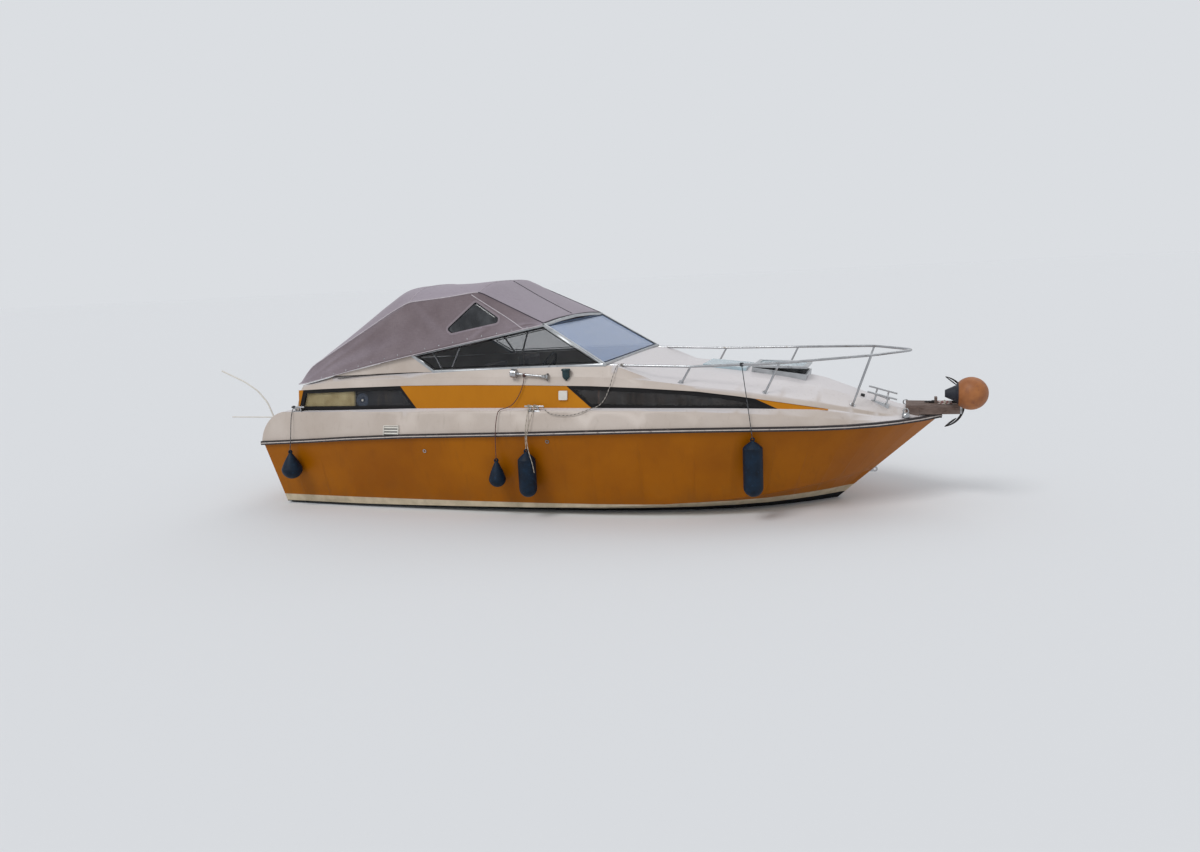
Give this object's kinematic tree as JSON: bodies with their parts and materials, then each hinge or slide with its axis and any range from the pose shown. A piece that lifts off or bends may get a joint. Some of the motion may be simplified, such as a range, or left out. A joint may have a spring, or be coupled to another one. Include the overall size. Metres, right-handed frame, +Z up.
{
  "type": "cabin cruiser",
  "caption": "Small cabin cruiser with a chined hull, raked screen, cockpit canopy, bow rail, foredeck hatch and a steerable tilting sterndrive.",
  "frame": {"origin": "on the centreline at the waterline, amidships", "axes": "+X towards the bow, +Y to port, +Z up"},
  "size_m": [8.0955, 2.6553, 3.111],
  "materials": {
    "gelcoat_topsides": "gloss",
    "gelcoat_deck": "semi-gloss",
    "rail_rubber": "satin",
    "rail_insert": "satin",
    "stripe_ochre": "gloss",
    "window_rubber": "matte",
    "tinted_acrylic": "gloss",
    "liner_gelcoat": "satin",
    "bulkhead_ply": "varnished",
    "cushion_fabric": "woven",
    "console_plastic": "grained",
    "black_plastic": "satin",
    "seat_vinyl": "grained",
    "engine_enamel": "enamel",
    "aluminium_frame": "anodised",
    "screen_glass": "polished",
    "canopy_fabric": "coated",
    "stainless": "polished",
    "hatch_pane": "gloss",
    "teak": "weathered",
    "galvanised": "weathered",
    "float_plastic": "weathered",
    "fender_vinyl": "satin",
    "drive_paint": "semi-gloss",
    "propeller_alloy": "painted",
    "lanyard_rope": "braided",
    "mooring_rope": "braided",
    "lamp_lens": "gloss",
    "white_plastic": "gloss"
  },
  "bodies": {
    "boat": {"hull_shell": "gelcoat_topsides", "deck_moulding": "gelcoat_deck", "rub_rail": "rail_rubber", "rub_rail_insert": "rail_insert", "side_stripes": "stripe_ochre", "side_window_frames": "window_rubber", "side_window_glass": "tinted_acrylic", "cockpit_liner": "liner_gelcoat", "cabin_bulkhead": "bulkhead_ply", "berth_base": "bulkhead_ply", "berth_cushion": "cushion_fabric", "helm_console": "console_plastic", "steering_column": "black_plastic", "bench_box": "liner_gelcoat", "engine_block": "engine_enamel", "engine_beds": "liner_gelcoat", "seats": "liner_gelcoat", "seat_cushions": "seat_vinyl", "windscreen_frame": "aluminium_frame", "windscreen_glass": "screen_glass", "quarter_panels": "gelcoat_deck", "canopy": "canopy_fabric", "canopy_hoops": "stainless", "hatch_frame": "aluminium_frame", "deck_panel": "hatch_pane", "bow_rail": "stainless", "bow_cleats": "stainless", "side_cleats": "stainless", "bow_platform": "teak", "roller_cheeks": "stainless", "anchor": "galvanised", "ball_float": "float_plastic", "transom_shield": "drive_paint", "stern_fender": "fender_vinyl", "mid_fender_aft": "fender_vinyl", "mid_fender_fore": "fender_vinyl", "bow_fender": "fender_vinyl", "stern_lanyard": "lanyard_rope", "mid_lanyard_aft": "lanyard_rope", "mid_lanyard_fore": "mooring_rope", "mid_lanyard_end": "mooring_rope", "bow_lanyard": "lanyard_rope", "slack_line": "lanyard_rope", "float_coil": "mooring_rope", "hull_fittings": "stainless", "horn": "stainless", "side_lamps": "lamp_lens", "stern_pole": "white_plastic", "window_linings": "cushion_fabric", "canopy_windows": "hatch_pane"},
    "steering_wheel": {"steering_wheel": "black_plastic"},
    "cabin_door": {"cabin_door": "bulkhead_ply"},
    "engine_hatch": {"engine_hatch": "liner_gelcoat", "bench_cushion": "seat_vinyl"},
    "deck_hatch": {"hatch_lid": "aluminium_frame", "hatch_pane": "hatch_pane"},
    "bow_roller": {"bow_roller": "black_plastic"},
    "drive_yoke": {"drive_yoke": "drive_paint"},
    "drive_leg": {"drive_leg": "drive_paint"},
    "propeller": {"propeller": "propeller_alloy"}
  },
  "joints": [
    {"name": "wheel_turn", "type": "hinge", "parent": "boat", "child": "steering_wheel", "pos_m": [-0.376, -0.45, 1.407], "axis": [-0.9063, 0, 0.4226], "range_deg": [-540, 540]},
    {"name": "cabin_door_hinge", "type": "hinge", "parent": "boat", "child": "cabin_door", "pos_m": [0.336, 0.545, 0.965], "axis": [0, 0, -1], "range_deg": [0, 100]},
    {"name": "engine_hatch_hinge", "type": "hinge", "parent": "boat", "child": "engine_hatch", "pos_m": [-2.815, 0, 0.9003], "axis": [0, -1, 0], "range_deg": [0, 55]},
    {"name": "deck_hatch_hinge", "type": "hinge", "parent": "boat", "child": "deck_hatch", "pos_m": [1.73418, 0, 1.36677], "axis": [0, -1, 0], "range_deg": [-6, 70]},
    {"name": "bow_roller_spin", "type": "hinge", "parent": "boat", "child": "bow_roller", "pos_m": [3.668, 0, 0.9], "axis": [0, 1, 0], "continuous": true},
    {"name": "drive_steer", "type": "hinge", "parent": "boat", "child": "drive_yoke", "pos_m": [-3.5, 0, 0.04], "axis": [0, 0, 1], "range_deg": [-30, 30]},
    {"name": "drive_tilt", "type": "hinge", "parent": "drive_yoke", "child": "drive_leg", "pos_m": [-3.6, 0, 0.04], "axis": [0, 1, 0], "range_deg": [0, 50]},
    {"name": "propeller_spin", "type": "hinge", "parent": "drive_leg", "child": "propeller", "pos_m": [-4.01, 0, -0.56], "axis": [1, 0, 0], "continuous": true}
  ],
  "couplings": [
    {"joint": "wheel_turn", "follows": "drive_steer", "ratio": 18}
  ]
}
